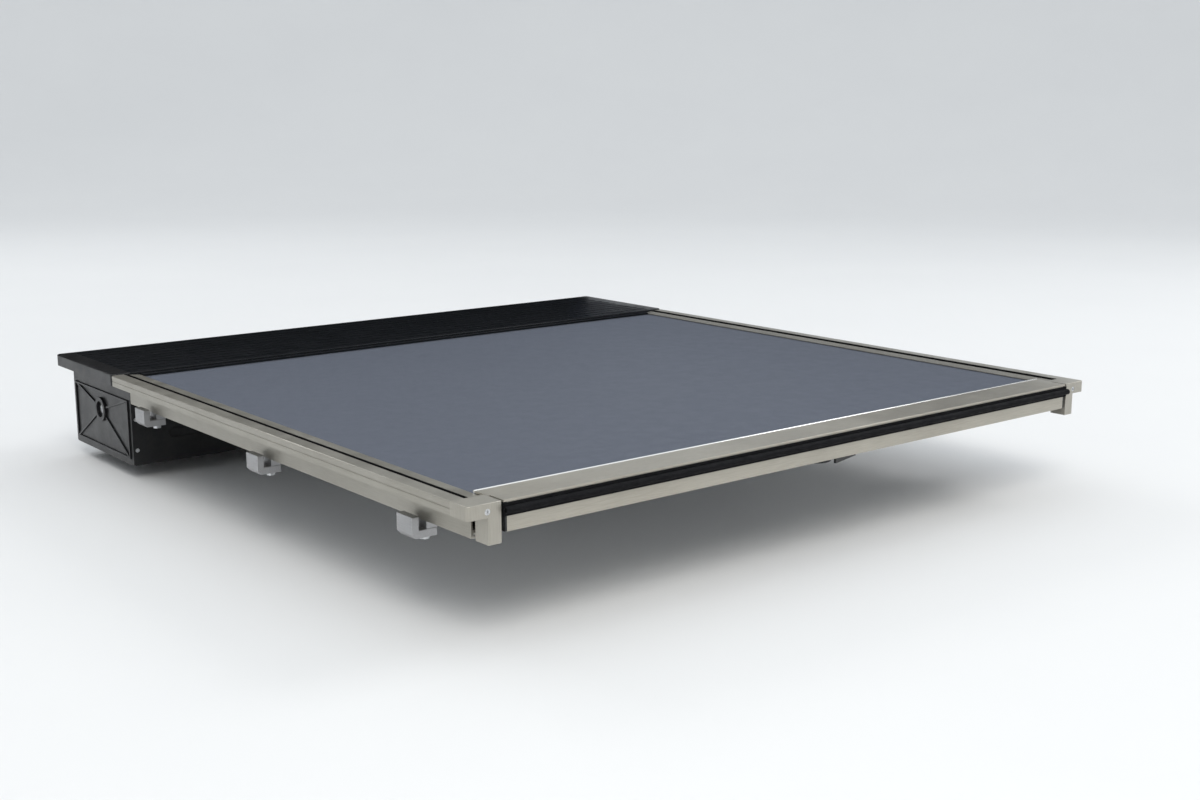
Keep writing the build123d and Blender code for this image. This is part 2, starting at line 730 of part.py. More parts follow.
with BuildPart() as housing:
    block(housing_x, housing_y, (inside_floor, inside_floor + 2.0))
    block((housing_x[0], housing_x[0] + 3.0), housing_y, (inside_floor + 2.0, housing_top))
    block((guide_in_x, housing_x[1]), housing_y, (inside_floor + 2.0, housing_top))
    post((housing_x[0], bolt_y, bolt_z), tail_r + 0.3, 3.0, "X", Mode.SUBTRACT)
    guide_y = (bolt_y - bolt_half_y - 0.3, bolt_y + bolt_half_y + 0.3)
    guide_z = (bolt_z - bolt_half_z - 0.3, bolt_z + bolt_half_z + 0.3)
    block((guide_in_x, housing_x[1]), guide_y, guide_z, Mode.SUBTRACT)
save_pair(housing.part, "latch_housing")

with BuildPart() as bolt:
    bolt_y_span = (bolt_y - bolt_half_y, bolt_y + bolt_half_y)
    block((bolt_back, bolt_tip), bolt_y_span, (bolt_z - bolt_half_z, bolt_z + bolt_half_z))
    tip_edges = bolt.edges().filter_by(Axis.Z).group_by(Axis.X)[-1]
    chamfer(tip_edges.sort_by(Axis.Y)[-1], 4.0)
    post((tail_end, bolt_y, bolt_z), tail_r, bolt_back - tail_end, "X")
save_pair(bolt.part, "latch_bolt")

spring_turns = 7
spring_wire = 0.5
spring_r = 4.4
spring_x = (housing_x[0] + 3.0, bolt_back)
spring_length = spring_x[1] - spring_x[0] - 2 * spring_wire - 0.2
with BuildPart() as latch_spring:
    start = (spring_x[0] + spring_wire + 0.1, bolt_y, bolt_z)
    with BuildLine():
        turns = Helix(spring_length / spring_turns, spring_length, spring_r, start, (1, 0, 0))
    with BuildSketch(Plane(turns @ 0, z_dir=turns % 0)):
        Circle(spring_wire)
    sweep(is_frenet=True)
save_pair(latch_spring.part, "latch_spring")


def rod_slot(x, y):
    """Cross slot in a pull rod for one drive pin."""
    block((x - pin_r - 0.25, x + pin_r + 0.25), (y - 4.4, y + 4.4), rod_z, Mode.SUBTRACT)


rod_width = 5.0
jog_x = 64.0
with BuildPart() as rod_right:
    pin_row = hub_y - pin_y
    block((pin_x - 9.0, jog_x), (pin_row - 6.5, pin_row + 6.5), rod_z)
    block((jog_x - 12.0, jog_x), (pin_row, bolt_y + rod_width), rod_z)
    block((jog_x - 12.0, tail_end), (bolt_y - rod_width, bolt_y + rod_width), rod_z)
    rod_slot(pin_x, pin_row)
save(rod_right.part, "pull_rod_right")

with BuildPart() as rod_left:
    pin_row = hub_y + pin_y
    block((-tail_end, -pin_x + 9.0), (bolt_y - rod_width, bolt_y + rod_width), rod_z)
    block((-pin_x - 12.0, -pin_x + 9.0), (pin_row - 6.5, pin_row + 6.5), rod_z)
    rod_slot(-pin_x, pin_row)
save(rod_left.part, "pull_rod_left")

lever_z = (bar_bottom - 5.0, bar_bottom - 1.0)
lever_length = 125.0
lever_width = 24.0
grip_length = 70.0
grip_depth = 16.0
pivot_head_z = lever_z[0] - 3.3
pivot_nut_height = 3.2
with BuildPart() as lever:
    with BuildSketch(Plane((0, hub_y, lever_z[0]))):
        Circle(27.0)
        with Locations(Rotation(0, 0, stroke_angle / 2)):
            with Locations((lever_length / 2, 0)):
                SlotOverall(lever_length + lever_width, lever_width)
        Circle(pivot_r + running_gap, mode=Mode.SUBTRACT)
    extrude(amount=lever_z[1] - lever_z[0])
    for side in (-1, 1):
        place = (-side * pin_x, hub_y + side * pin_y, lever_z[1])
        post(place, pin_r, rod_z[1] + 1.0 - lever_z[1], "Z")
    grip = Plane((0, hub_y, lever_z[0]), x_dir=(cos(half_swing), sin(half_swing), 0), z_dir=(0, 0, -1))
    with BuildSketch(grip):
        with Locations((lever_length * 0.72, lever_width / 2 - 3.0)):
            Rectangle(grip_length, 4.0)
    extrude(amount=grip_depth)
save(lever.part, "release_lever")

with BuildPart() as pivot:
    post((0, hub_y, pivot_head_z), 8.0, 3.0, "Z")
    post((0, hub_y, pivot_head_z + 3.0), pivot_r, inside_floor + 1.0 - pivot_head_z, "Z")
    post((0, hub_y, pivot_head_z), 2.2, 2.0, "Z", Mode.SUBTRACT, 6)
save(pivot.part, "lever_pivot")

with BuildPart() as pivot_nut:
    post((0, hub_y, inside_floor), 6.8, pivot_nut_height, "Z", Mode.ADD, 6)
    post((0, hub_y, inside_floor), pivot_r, pivot_nut_height, "Z", Mode.SUBTRACT)
save(pivot_nut.part, "pivot_nut")
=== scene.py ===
import json
import math

import bmesh
import bpy
from mathutils import Matrix, Vector


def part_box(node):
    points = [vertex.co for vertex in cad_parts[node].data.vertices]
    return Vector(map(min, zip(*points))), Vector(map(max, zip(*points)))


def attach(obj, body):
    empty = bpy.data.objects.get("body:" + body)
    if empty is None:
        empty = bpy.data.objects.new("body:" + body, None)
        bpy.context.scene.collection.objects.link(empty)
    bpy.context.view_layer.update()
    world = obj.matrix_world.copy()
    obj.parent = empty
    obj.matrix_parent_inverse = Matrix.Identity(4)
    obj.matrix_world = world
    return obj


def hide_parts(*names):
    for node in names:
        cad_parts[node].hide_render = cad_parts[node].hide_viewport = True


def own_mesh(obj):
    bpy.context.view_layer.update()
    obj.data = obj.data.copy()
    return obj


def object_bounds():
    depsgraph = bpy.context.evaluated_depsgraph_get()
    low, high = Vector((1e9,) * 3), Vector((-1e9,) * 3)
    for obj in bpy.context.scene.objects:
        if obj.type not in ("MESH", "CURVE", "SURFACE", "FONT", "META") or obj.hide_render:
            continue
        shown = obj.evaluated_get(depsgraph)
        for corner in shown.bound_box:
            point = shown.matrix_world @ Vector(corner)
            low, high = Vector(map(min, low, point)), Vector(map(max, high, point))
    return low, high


# Roll-up tonneau cover: materials, lights, camera and the detailed pieces that
# stand for the plain CAD solids. Metres, in the CAD model's frame:
# X to the right seen from behind, Y forward to the cab, Z up.

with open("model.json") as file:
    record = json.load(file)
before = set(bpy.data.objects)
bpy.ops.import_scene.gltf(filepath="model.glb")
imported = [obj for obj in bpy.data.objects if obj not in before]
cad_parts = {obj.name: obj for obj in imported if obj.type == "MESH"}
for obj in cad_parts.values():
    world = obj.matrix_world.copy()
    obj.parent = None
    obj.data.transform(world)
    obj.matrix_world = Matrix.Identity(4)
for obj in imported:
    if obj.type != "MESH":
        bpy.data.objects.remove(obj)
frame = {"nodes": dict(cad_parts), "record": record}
cad_low, cad_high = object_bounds()
MM = 0.001


# ---------------------------------------------------------------- materials


class Finish:
    """A procedural material, built around one Principled shader."""

    def __init__(self, name, roughness=0.5, metallic=0.0, specular=0.5, coat=0.0):
        self.material = bpy.data.materials.new(name)
        self.material.use_nodes = True
        self.nodes = self.material.node_tree.nodes
        self.links = self.material.node_tree.links
        self.shader = self.nodes["Principled BSDF"]
        self.shader.inputs["Roughness"].default_value = roughness
        self.shader.inputs["Metallic"].default_value = metallic
        self.shader.inputs["Specular IOR Level"].default_value = specular
        self.shader.inputs["Coat Weight"].default_value = coat
        self.shader.inputs["Coat Roughness"].default_value = 0.25
        self.place = self.nodes.new("ShaderNodeTexCoord").outputs["Object"]
        self.height = None

    def stretched(self, scale):
        """Object coordinates multiplied by (x, y, z), for grain with a direction."""
        node = self.nodes.new("ShaderNodeMapping")
        node.inputs["Scale"].default_value = scale
        self.links.new(self.place, node.inputs["Vector"])
        return node.outputs["Vector"]

    def noise(self, scale, detail=3.0, rough=0.55, stretch=(1, 1, 1)):
        node = self.nodes.new("ShaderNodeTexNoise")
        node.inputs["Scale"].default_value = scale
        node.inputs["Detail"].default_value = detail
        node.inputs["Roughness"].default_value = rough
        self.links.new(self.stretched(stretch), node.inputs["Vector"])
        return node.outputs["Fac"]

    def cells(self, scale, feature="DISTANCE_TO_EDGE", stretch=(1, 1, 1)):
        node = self.nodes.new("ShaderNodeTexVoronoi")
        node.feature = feature
        node.inputs["Scale"].default_value = scale
        self.links.new(self.stretched(stretch), node.inputs["Vector"])
        return node.outputs["Distance"]

    def axis(self, letter):
        """One object coordinate, in metres."""
        node = self.nodes.new("ShaderNodeSeparateXYZ")
        self.links.new(self.place, node.inputs["Vector"])
        return node.outputs[letter]

    def math(self, operation, a, b=0.0):
        node = self.nodes.new("ShaderNodeMath")
        node.operation = operation
        for socket, value in zip(node.inputs, (a, b)):
            if isinstance(value, (int, float)):
                socket.default_value = value
            else:
                self.links.new(value, socket)
        return node.outputs["Value"]

    def spread(self, value, low, high, to_low=0.0, to_high=1.0):
        """Value from low..high mapped to to_low..to_high, and kept inside it."""
        node = self.nodes.new("ShaderNodeMapRange")
        node.interpolation_type = "SMOOTHSTEP"
        ends = {"From Min": low, "From Max": high, "To Min": to_low, "To Max": to_high}
        for key, number in ends.items():
            node.inputs[key].default_value = number
        self.links.new(value, node.inputs["Value"])
        return node.outputs["Result"]

    def mix(self, amount, first, second):
        """Colour between two colours or sockets."""
        node = self.nodes.new("ShaderNodeMix")
        node.data_type = "RGBA"
        self.links.new(amount, node.inputs["Factor"])
        for key, value in ((6, first), (7, second)):
            if isinstance(value, tuple):
                node.inputs[key].default_value = (*value, 1.0)
            else:
                self.links.new(value, node.inputs[key])
        return node.outputs[2]

    def colour(self, value):
        self.links.new(value, self.shader.inputs["Base Color"])

    def roughness(self, value):
        self.links.new(value, self.shader.inputs["Roughness"])

    def bump(self, value, distance, strength=1.0):
        """Adds one layer of relief, distance metres high, over any earlier one."""
        node = self.nodes.new("ShaderNodeBump")
        node.inputs["Distance"].default_value = distance
        node.inputs["Strength"].default_value = strength
        self.links.new(value, node.inputs["Height"])
        if self.height is not None:
            self.links.new(self.height, node.inputs["Normal"])
        self.height = node.outputs["Normal"]
        self.links.new(self.height, self.shader.inputs["Normal"])


def alloy(name, dark, light, run, roughness=0.36, metallic=0.75, polished_highlight_from=None):
    """Satin anodised or drawn aluminium with fine lines along the axis named run.
    From the lip's Y coordinate forward, the surface is polished, and its near-white colour there is a
    painted highlight along the lip."""
    f = Finish(name, roughness, metallic)
    stretch = tuple(0.02 if letter == run else 1.0 for letter in "XYZ")
    lines = f.noise(1500.0, 4.0, 0.6, stretch)
    cloud = f.noise(5.0, 3.0)
    tone = f.math("ADD", f.math("MULTIPLY", lines, 0.6), f.math("MULTIPLY", cloud, 0.4))
    colour = f.mix(f.spread(tone, 0.3, 0.7), dark, light)
    smudge = f.noise(22.0, 5.0, 0.6)
    gloss = f.spread(smudge, 0.3, 0.75, roughness - 0.05, roughness + 0.08)
    # Along the lip the metal is polished, and its colour is painted near white as a highlight.
    if polished_highlight_from is not None:
        polished_highlight_mask = f.spread(f.axis("Y"), polished_highlight_from - 0.3 * MM, polished_highlight_from + 0.3 * MM)
        colour = f.mix(polished_highlight_mask, colour, (0.93, 0.93, 0.91))
        keep_gloss = f.math("MULTIPLY", gloss, f.math("SUBTRACT", 1.0, polished_highlight_mask))
        gloss = f.math("ADD", keep_gloss, f.math("MULTIPLY", polished_highlight_mask, 0.22))
    f.colour(colour)
    f.roughness(gloss)
    f.bump(lines, 0.00004, 0.5)
    return f


def paint(name, dark, light, roughness=0.4, coat=0.1, grain=1500.0, relief=0.00005, specular=0.3):
    """Powder coat: an orange peel of about half a millimetre, a trace of dust, and gloss that varies
    a little."""
    f = Finish(name, roughness, 0.0, specular, coat)
    patches = f.math("MULTIPLY", f.noise(55.0, 6.0, 0.65), 0.6)
    specks = f.math("MULTIPLY", f.noise(900.0, 2.0), 0.4)
    dust = f.math("ADD", patches, specks)
    f.colour(f.mix(f.spread(dust, 0.40, 0.72), dark, light))
    f.roughness(f.spread(f.noise(26.0, 5.0, 0.6), 0.3, 0.7, roughness - 0.04, roughness + 0.07))
    f.bump(f.noise(grain, 2.0), relief, 0.5)
    return f


def moulded(name, dark, light, roughness=0.55, grain=1800.0, relief=0.00006, specular=0.3):
    """Moulded plastic or rubber: spark-eroded grain and a slight bloom."""
    f = Finish(name, roughness, 0.0, specular)
    f.colour(f.mix(f.spread(f.noise(140.0, 4.0), 0.35, 0.7), dark, light))
    f.roughness(f.spread(f.noise(70.0, 3.0), 0.3, 0.7, roughness - 0.07, roughness + 0.1))
    f.bump(f.cells(grain, "SMOOTH_F1"), relief, 0.5)
    return f


def steel(name, dark, light, roughness=0.32):
    """Zinc-plated or ground steel with a faint mottle."""
    f = Finish(name, roughness, 0.9)
    mottle = f.cells(260.0, "F1")
    f.colour(f.mix(f.spread(mottle, 0.1, 0.7), dark, light))
    f.roughness(f.spread(f.noise(120.0, 4.0), 0.3, 0.7, roughness - 0.06, roughness + 0.12))
    f.bump(f.noise(900.0, 3.0), 0.00002, 0.4)
    return f


def vinyl(name, dark, light):
    """Grained vinyl skin: irregular pebbles about a millimetre and a half across, with shallow creases
    between them, fine pores, and a tone that hardly drifts over the sheet."""
    f = Finish(name, 0.58, 0.0, 0.2)
    f.shader.inputs["Sheen Weight"].default_value = 0.05
    f.shader.inputs["Sheen Roughness"].default_value = 0.5
    pebble = f.cells(620.0, "DISTANCE_TO_EDGE")
    warp = f.noise(260.0, 4.0, 0.6)
    pores = f.cells(1900.0, "F1")
    drift = f.noise(1.6, 3.0, 0.5)
    crease = f.spread(pebble, 0.0, 0.12)
    grain = f.math("ADD", f.math("MULTIPLY", crease, 0.45), f.math("MULTIPLY", warp, 0.35))
    tone = f.math("ADD", grain, f.math("MULTIPLY", drift, 0.20))
    f.colour(f.mix(f.spread(tone, 0.35, 0.85), dark, light))
    f.roughness(f.spread(f.noise(38.0, 5.0, 0.6), 0.3, 0.7, 0.53, 0.63))
    f.bump(f.spread(pebble, 0.0, 0.25), 0.00012, 0.6)
    f.bump(warp, 0.00010, 0.35)
    f.bump(f.spread(pores, 0.05, 0.35), 0.00003, 0.5)
    return f


# The strip along the end bar's front edge, polished and painted near white as a highlight.
LIP_WIDTH = 4.0 * MM
LIP_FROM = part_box("end_bar")[1][1] - LIP_WIDTH

# Each finish: the function that makes it, its dark and light tone, and its other settings.
RECIPES = {
    "bar_alloy": (
        alloy,
        (0.36, 0.335, 0.285),
        (0.47, 0.445, 0.385),
        {"run": "X", "roughness": 0.34, "metallic": 0.6, "polished_highlight_from": LIP_FROM},
    ),
    "rail_alloy": (
        alloy,
        (0.31, 0.293, 0.252),
        (0.40, 0.383, 0.338),
        {"run": "Y", "roughness": 0.34, "metallic": 0.6},
    ),
    "corner_alloy": (
        alloy,
        (0.35, 0.33, 0.285),
        (0.45, 0.43, 0.38),
        {"run": "Z", "roughness": 0.40, "metallic": 0.6},
    ),
    "slat_alloy": (
        alloy,
        (0.48, 0.49, 0.50),
        (0.68, 0.69, 0.70),
        {"run": "X", "roughness": 0.34, "metallic": 0.85},
    ),
    "clamp_alloy": (
        alloy,
        (0.33, 0.33, 0.335),
        (0.46, 0.46, 0.465),
        {"run": "Y", "roughness": 0.42, "metallic": 0.85},
    ),
    "black_sheet": (
        paint,
        (0.010, 0.010, 0.011),
        (0.019, 0.019, 0.019),
        {"roughness": 0.46, "coat": 0.0},
    ),
    "black_lid": (
        paint,
        (0.006, 0.007, 0.0085),
        (0.011, 0.012, 0.0145),
        {"roughness": 0.38, "coat": 0.0, "specular": 0.12},
    ),
    "black_casting": (
        paint,
        (0.009, 0.009, 0.010),
        (0.017, 0.017, 0.018),
        {"roughness": 0.34, "coat": 0.15, "grain": 900.0, "relief": 0.00009},
    ),
    "lever_paint": (paint, (0.012, 0.012, 0.013), (0.022, 0.022, 0.022), {"roughness": 0.42}),
    # Besides the real seals, this also colours the rails' groove liners: near-black sheets that stand
    # in for the deep shade inside the grooves.
    "seal_rubber": (
        moulded,
        (0.004, 0.004, 0.005),
        (0.009, 0.009, 0.010),
        {"roughness": 0.72, "specular": 0.12},
    ),
    "black_plastic": (moulded, (0.014, 0.014, 0.015), (0.030, 0.030, 0.032), {"roughness": 0.50}),
    "glide_plastic": (
        moulded,
        (0.030, 0.030, 0.032),
        (0.060, 0.060, 0.063),
        {"roughness": 0.38, "grain": 2600.0, "relief": 0.00002},
    ),
    "zinc_steel": (steel, (0.42, 0.43, 0.44), (0.64, 0.65, 0.66), {}),
    "steel_rod": (steel, (0.38, 0.39, 0.40), (0.55, 0.56, 0.57), {"roughness": 0.26}),
    "curtain_vinyl": (vinyl, (0.071, 0.082, 0.109), (0.094, 0.107, 0.139), {}),
}
FINISHES = {
    name: make(name, dark, light, **settings)
    for name, (make, dark, light, settings) in RECIPES.items()
}

# The record names one slot for the rails and the bar; the bar's drawing lines run across.
NODE_FINISH = {"end_bar": "bar_alloy", "drum_tube": "slat_alloy", "guide_roller": "slat_alloy"}
SLOT_FINISH = {"mill_alloy": "slat_alloy"}


def finish_for(node):
    """The finish of a CAD node, from its material slot in the record."""
    if node in NODE_FINISH:
        return FINISHES[NODE_FINISH[node]]
    slots = {s["node"]: s["material_slot"] for s in frame["record"]["subparts"]}
    slot = slots[node]
    return FINISHES[SLOT_FINISH.get(slot, slot)]


for node_name in frame["nodes"]:
    cad_object = bpy.data.objects[node_name]
    material = finish_for(node_name).material
    if cad_object.material_slots:
        for slot in cad_object.material_slots:
            slot.link = "OBJECT"
            slot.material = material
    else:
        cad_object.data.materials.append(material)


# ---------------------------------------------------------------- shapes


def node_box(node):
    """A CAD node's lowest and highest corner at rest."""
    low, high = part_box(node)
    return Vector(low), Vector(high)


def add_object(name, mesh, slot_name):
    """A new piece from a mesh, with its finish and the record's material slot."""
    piece = bpy.data.objects.new(name, mesh)
    bpy.context.collection.objects.link(piece)
    mesh.materials.clear()
    mesh.materials.append(FINISHES[SLOT_FINISH.get(slot_name, slot_name)].material)
    return piece


def finished(form, name):
    """Closes a bmesh's making: faces turned outwards, a mesh made from it, and its memory freed."""
    bmesh.ops.recalc_face_normals(form, faces=form.faces)
    mesh = bpy.data.meshes.new(name)
    form.to_mesh(mesh)
    form.free()
    return mesh


def across_mesh(name, loops, x_low, x_high):
    """A profile extruded across the cover. loops are outlines of (y, z): the outside first, then
    the holes."""
    curve = bpy.data.curves.new(name, "CURVE")
    curve.dimensions = "2D"
    curve.fill_mode = "BOTH"
    curve.extrude = (x_high - x_low) / 2
    for loop in loops:
        spline = curve.splines.new("POLY")
        spline.points.add(len(loop) - 1)
        for point, (y, z) in zip(spline.points, loop):
            point.co = (y, z, 0.0, 1.0)
        spline.use_cyclic_u = True
    holder = bpy.data.objects.new(name, curve)
    bpy.context.collection.objects.link(holder)
    bpy.context.view_layer.update()
    graph = bpy.context.evaluated_depsgraph_get()
    mesh = bpy.data.meshes.new_from_object(holder.evaluated_get(graph))
    bpy.data.objects.remove(holder)
    bpy.data.curves.remove(curve)
    turn = Matrix(((0, 0, 1, (x_low + x_high) / 2), (1, 0, 0, 0), (0, 1, 0, 0), (0, 0, 0, 1)))
    mesh.transform(turn)
    form = bmesh.new()
    form.from_mesh(mesh)
    bmesh.ops.remove_doubles(form, verts=form.verts, dist=1e-6)
    bmesh.ops.recalc_face_normals(form, faces=form.faces)
    form.to_mesh(mesh)
    form.free()
    return mesh


def placed(y, z, tilt=0.0):
    """Moves a profile's foot to (y, z) and turns it about X, tilt in radians."""
    return Matrix.Translation((0, y, z)) @ Matrix.Rotation(tilt, 4, "X")


def repeated(name, mesh, places):
    """One mesh that holds a copy of mesh at each place, which is a matrix."""
    form = bmesh.new()
    for place in places:
        first = len(form.verts)
        form.from_mesh(mesh)
        form.verts.ensure_lookup_table()
        bmesh.ops.transform(form, matrix=place, verts=form.verts[first:])
    whole = bpy.data.meshes.new(name)
    form.to_mesh(whole)
    form.free()
    return whole


def turned_mesh(name, outline, centre, sides=48):
    """A ring or spigot: an outline of (radius, z) turned round a vertical line through centre."""
    form = bmesh.new()
    rings = []
    for step in range(sides):
        angle = 2 * math.pi * step / sides
        x, y = math.cos(angle), math.sin(angle)
        rings.append([form.verts.new((centre[0] + r * x, centre[1] + r * y, z)) for r, z in outline])
    for ring, following in zip(rings, rings[1:] + rings[:1]):
        for i in range(len(outline)):
            j = (i + 1) % len(outline)
            form.faces.new((ring[i], following[i], following[j], ring[j]))
    return finished(form, name)


def arc(centre, radius, start, stop, steps):
    """Points on an arc in (y, z), from one angle to another, in degrees."""
    angles = [math.radians(start + (stop - start) * i / steps) for i in range(steps + 1)]
    return [(centre[0] + radius * math.cos(a), centre[1] + radius * math.sin(a)) for a in angles]


# ---------------------------------------------------------------- curtain

skin_low, skin_high = node_box("curtain_skin")
slats_low, slats_high = node_box("curtain_slats")
SLAT_COUNT = 39
SLAT_PITCH = (skin_high.y - skin_low.y) / SLAT_COUNT
SLAT_HEIGHT = slats_high.z - slats_low.z
SLAT_GAP = 0.8 * MM
DECK_WIDTH = SLAT_PITCH - SLAT_GAP
SKIN_CLEARANCE = 0.05 * MM


def slat_loops():
    """A curtain slat's section about the centre of its foot: a hollow deck with a bead at its front
    edge that hooks into a claw at the next slat's rear edge."""
    half = DECK_WIDTH / 2
    deck = SLAT_HEIGHT
    foot = half - 2.6 * MM
    bevel = 0.5 * MM
    wall = 1.2 * MM
    web = 1.1 * MM
    chambers = 3
    shoulder = 2.9 * MM
    rear_claw = [
        (-half, 6.6 * MM),
        (-half + 0.9 * MM, 6.6 * MM),
        (-half + 0.9 * MM, 7.4 * MM),
        (-half + 3.1 * MM, 7.4 * MM),
        (-half + 3.1 * MM, 3.1 * MM),
        (-half + 0.9 * MM, 3.1 * MM),
        (-half + 0.9 * MM, 3.9 * MM),
        (-half, 3.9 * MM),
    ]
    bead = [
        (half, 4.6 * MM),
        (half + 1.8 * MM, 4.6 * MM),
        (half + 2.1 * MM, 3.8 * MM),
        (half + 2.8 * MM, 3.8 * MM),
        (half + 3.3 * MM, 4.6 * MM),
        (half + 3.3 * MM, 5.9 * MM),
        (half + 2.8 * MM, 6.7 * MM),
        (half + 2.1 * MM, 6.7 * MM),
        (half + 1.8 * MM, 5.9 * MM),
        (half, 5.9 * MM),
    ]
    outside = [
        (-half, deck - bevel),
        *rear_claw,
        (-half, shoulder),
        (-foot - 0.4 * MM, 0.3 * MM),
        (-foot + bevel, 0),
        (foot - bevel, 0),
        (foot + 0.4 * MM, 0.3 * MM),
        (half, shoulder),
        *bead,
        (half, deck - bevel),
        (half - bevel, deck),
        (-half + bevel, deck),
    ]
    holes = []
    first, last = -half + 4.3 * MM, half - 1.3 * MM
    room = (last - first - (chambers - 1) * web) / chambers
    knee, ceiling = 3.0 * MM, deck - wall
    for i in range(chambers):
        low = first + i * (room + web)
        high = low + room
        low_foot = max(low, -foot + wall)
        high_foot = min(high, foot - wall)
        sides = [(low, knee), (low, ceiling), (high, ceiling), (high, knee)]
        holes.append([*sides, (high_foot, wall), (low_foot, wall)])
    return [outside, *holes]


def make_slats(slat):
    """The slats in the rails. The rearmost one stays with the end bar; the others close up towards
    the mouth."""
    middles = [skin_low.y + (i + 0.5) * SLAT_PITCH for i in range(SLAT_COUNT)]
    places = [placed(y, slats_low.z) for y in middles]
    rear = add_object("slat_at_bar", repeated("slat_at_bar", slat, places[:1]), "mill_alloy")
    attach(rear, "end_bar")
    rest = add_object("slats", repeated("slats", slat, places[1:]), "mill_alloy")
    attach(rest, "frame")
    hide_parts("curtain_slats")
    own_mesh(rest)


def make_skin():
    """The vinyl skin: one stretched sheet with a rolled hem along each side, in the rails' slots."""
    underside = skin_low.z + SKIN_CLEARANCE
    hem_r = (skin_high.z - underside) / 2
    columns = 48
    rows = 2 * SLAT_COUNT
    x_stations = [skin_high.x * (-1 + 2 * i / columns) for i in range(columns + 1)]
    y_stations = [skin_low.y + (skin_high.y - skin_low.y) * i / rows for i in range(rows + 1)]
    middle = underside + hem_r
    form = bmesh.new()

    def ring(y):
        """The section at one place along the sheet: flat top and bottom, half-round sides."""
        edge = skin_high.x - hem_r
        right = [(edge + hem_r * math.sin(a), middle + hem_r * math.cos(a)) for a in turn]
        left = [(-x, z) for x, z in reversed(right)]
        top = [(x, skin_high.z) for x in x_stations[1:-1]]
        bottom = [(x, underside) for x in reversed(x_stations[1:-1])]
        return [form.verts.new((x, y, z)) for x, z in (*top, *right, *bottom, *left)]

    turn = [math.pi * i / 6 for i in range(7)]
    rings = [ring(y) for y in y_stations]
    for near, far in zip(rings, rings[1:]):
        for i in range(len(near)):
            j = (i + 1) % len(near)
            form.faces.new((near[i], near[j], far[j], far[i]))
    form.faces.new(rings[0])
    form.faces.new(list(reversed(rings[-1])))
    mesh = finished(form, "skin")
    for face in mesh.polygons:
        face.use_smooth = len(face.vertices) == 4
    skin = add_object("skin", mesh, "curtain_vinyl")
    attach(skin, "frame")
    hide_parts("curtain_skin")
    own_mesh(skin)


slat_mesh = across_mesh("slat", slat_loops(), slats_low.x, slats_high.x)
make_slats(slat_mesh)
make_skin()

# ---------------------------------------------------------------- latch springs

SPRING_WIRE = 0.5 * MM
SPRING_TURNS = 6
CLOSED_TURNS = 1.5


def spring_path(length):
    """Pairs of (turn, distance along the spring): closed end turns with an even pitch between them."""
    end_run = CLOSED_TURNS * 2.1 * SPRING_WIRE
    return [
        (0.0, SPRING_WIRE),
        (CLOSED_TURNS, SPRING_WIRE + end_run),
        (CLOSED_TURNS + SPRING_TURNS, length - SPRING_WIRE - end_run),
        (2 * CLOSED_TURNS + SPRING_TURNS, length - SPRING_WIRE),
    ]


def spring_mesh(name, low, high):
    """A coil of round wire along X that fills the box from low to high."""
    steps, sides = 24, 8
    radius = (high.y - low.y) / 2 - SPRING_WIRE
    path = spring_path(high.x - low.x)
    count = round(path[-1][0] * steps) + 1
    along_x = Vector((1, 0, 0))
    verts, faces = [], []
    for i in range(count):
        turn = i / steps
        (t0, x0), (t1, x1) = next((a, b) for a, b in zip(path, path[1:]) if turn <= b[0] + 1e-9)
        x = low.x + x0 + (x1 - x0) * (turn - t0) / (t1 - t0)
        out = Vector((0, math.cos(math.tau * turn), math.sin(math.tau * turn)))
        middle = Vector((x, (low.y + high.y) / 2, (low.z + high.z) / 2)) + out * radius
        for k in range(sides):
            angle = math.tau * k / sides
            verts.append(middle + SPRING_WIRE * (math.cos(angle) * out + math.sin(angle) * along_x))
    for i in range(count - 1):
        for k in range(sides):
            a, b = i * sides + k, i * sides + (k + 1) % sides
            faces.append((a, a + sides, b + sides, b))
    faces.append(tuple(range(sides)))
    faces.append(tuple(reversed(range((count - 1) * sides, count * sides))))
    mesh = bpy.data.meshes.new(name)
    mesh.from_pydata(verts, [], faces)
    for face in mesh.polygons:
        face.use_smooth = len(face.vertices) == 4
    return mesh


def make_latch_spring(side):
    """A bolt's coil spring, which shortens towards its inner end as the bolt draws in."""
    node = f"latch_spring_{side}"
    name = f"bolt_spring_{side}"
    low, high = node_box(node)
    spring = add_object(name, spring_mesh(name, low, high), "steel_rod")
    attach(spring, "end_bar")
    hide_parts(node)
    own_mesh(spring)


make_latch_spring("left")
make_latch_spring("right")

# ---------------------------------------------------------------- curtain in the canister

roller_low, roller_high = node_box("guide_roller")
drum_low, drum_high = node_box("drum_tube")
SKIN_THICKNESS = skin_high.z - skin_low.z
ROLLER = Vector(((roller_low.y + roller_high.y) / 2, (roller_low.z + roller_high.z) / 2))
DRUM = Vector(((drum_low.y + drum_high.y) / 2, (drum_low.z + drum_high.z) / 2))
ROLLER_WRAP = (roller_high.z - roller_low.z) / 2 + 0.3 * MM
DRUM_WRAP = (drum_high.z - drum_low.z) / 2 + 0.4 * MM
SPAN = DRUM - ROLLER
FEED_TILT = math.atan2(SPAN.y, SPAN.x) + math.asin((DRUM_WRAP - ROLLER_WRAP) / SPAN.length)
FEED_DIR = Vector((math.cos(FEED_TILT), math.sin(FEED_TILT)))
FEED_UP = Vector((-FEED_DIR.y, FEED_DIR.x))
FEED_SLATS = 3
FEED_LEAD = 0.75 * SLAT_PITCH
FEED_LENGTH = (FEED_SLATS + 0.25) * SLAT_PITCH
WOUND_SLATS = 6
WOUND_STEP = math.radians(48)
WOUND_FROM = FEED_TILT - math.radians(15)
WOUND_CLEARANCE = 0.1 * MM


